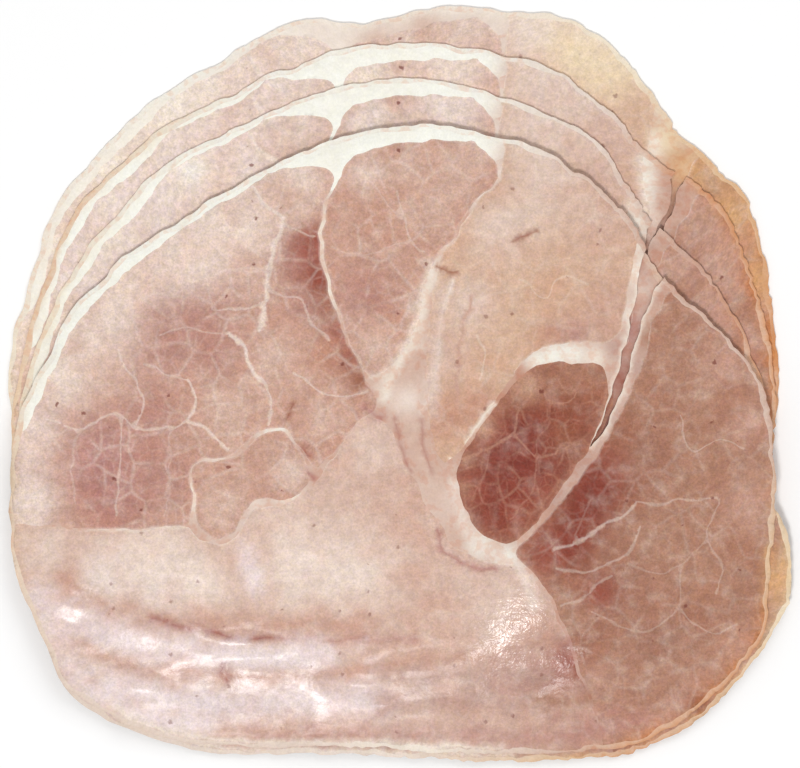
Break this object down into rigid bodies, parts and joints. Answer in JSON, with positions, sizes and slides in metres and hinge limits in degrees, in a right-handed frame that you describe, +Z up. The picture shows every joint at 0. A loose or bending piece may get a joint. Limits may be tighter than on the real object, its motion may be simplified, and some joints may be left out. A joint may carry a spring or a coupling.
{
  "type": "fanned sliced ham portion",
  "caption": "Thin slices of cooked ham fanned in a flat pile, each slice made of separate muscles joined by fat seams inside an outer fat cap and a browned rind.",
  "frame": {"origin": "on the surface that the portion lies on, at the middle of its bounding box", "axes": "+Z up, +Y towards the fanned edges, +X across the slices; each slice slides over the one below it towards -Y"},
  "size_m": [0.1964, 0.1892, 0.0087],
  "materials": {
    "rose_lean": "moist satin",
    "pale_lean": "moist satin",
    "dark_lean": "moist satin",
    "fat": "greasy satin",
    "rind": "dry satin"
  },
  "bodies": {
    "slice_1": {"slice_1_rind": "rind", "slice_1_fat_cap": "fat", "slice_1_seam_fat": "fat", "slice_1_left_muscle": "rose_lean", "slice_1_inner_muscle": "rose_lean", "slice_1_top_muscle": "rose_lean", "slice_1_centre_muscle": "pale_lean", "slice_1_eye_muscle": "dark_lean", "slice_1_right_muscle": "rose_lean", "slice_1_lower_muscle": "pale_lean"},
    "slice_2": {"slice_2_rind": "rind", "slice_2_fat_cap": "fat", "slice_2_seam_fat": "fat", "slice_2_left_muscle": "rose_lean", "slice_2_inner_muscle": "rose_lean", "slice_2_top_muscle": "rose_lean", "slice_2_centre_muscle": "pale_lean", "slice_2_eye_muscle": "dark_lean", "slice_2_right_muscle": "rose_lean", "slice_2_lower_muscle": "pale_lean"},
    "slice_3": {"slice_3_rind": "rind", "slice_3_fat_cap": "fat", "slice_3_seam_fat": "fat", "slice_3_left_muscle": "rose_lean", "slice_3_inner_muscle": "rose_lean", "slice_3_top_muscle": "rose_lean", "slice_3_centre_muscle": "pale_lean", "slice_3_eye_muscle": "dark_lean", "slice_3_right_muscle": "rose_lean", "slice_3_lower_muscle": "pale_lean"},
    "slice_4": {"slice_4_rind": "rind", "slice_4_fat_cap": "fat", "slice_4_seam_fat": "fat", "slice_4_left_muscle": "rose_lean", "slice_4_inner_muscle": "rose_lean", "slice_4_top_muscle": "rose_lean", "slice_4_centre_muscle": "pale_lean", "slice_4_eye_muscle": "dark_lean", "slice_4_right_muscle": "rose_lean", "slice_4_lower_muscle": "pale_lean"},
    "slice_5": {"slice_5_rind": "rind", "slice_5_fat_cap": "fat", "slice_5_seam_fat": "fat", "slice_5_left_muscle": "rose_lean", "slice_5_inner_muscle": "rose_lean", "slice_5_top_muscle": "rose_lean", "slice_5_centre_muscle": "pale_lean", "slice_5_eye_muscle": "dark_lean", "slice_5_right_muscle": "rose_lean", "slice_5_lower_muscle": "pale_lean"}
  },
  "joints": [
    {"name": "slice_2_lift", "type": "slide", "parent": "slice_1", "child": "slice_2", "axis": [0, 0, 1], "range_m": [0, 0.06]},
    {"name": "slice_3_lift", "type": "slide", "parent": "slice_2", "child": "slice_3", "axis": [0, 0, 1], "range_m": [0, 0.06]},
    {"name": "slice_4_lift", "type": "slide", "parent": "slice_3", "child": "slice_4", "axis": [0, 0, 1], "range_m": [0, 0.06]},
    {"name": "slice_5_lift", "type": "slide", "parent": "slice_4", "child": "slice_5", "axis": [0, 0, 1], "range_m": [0, 0.06]}
  ]
}
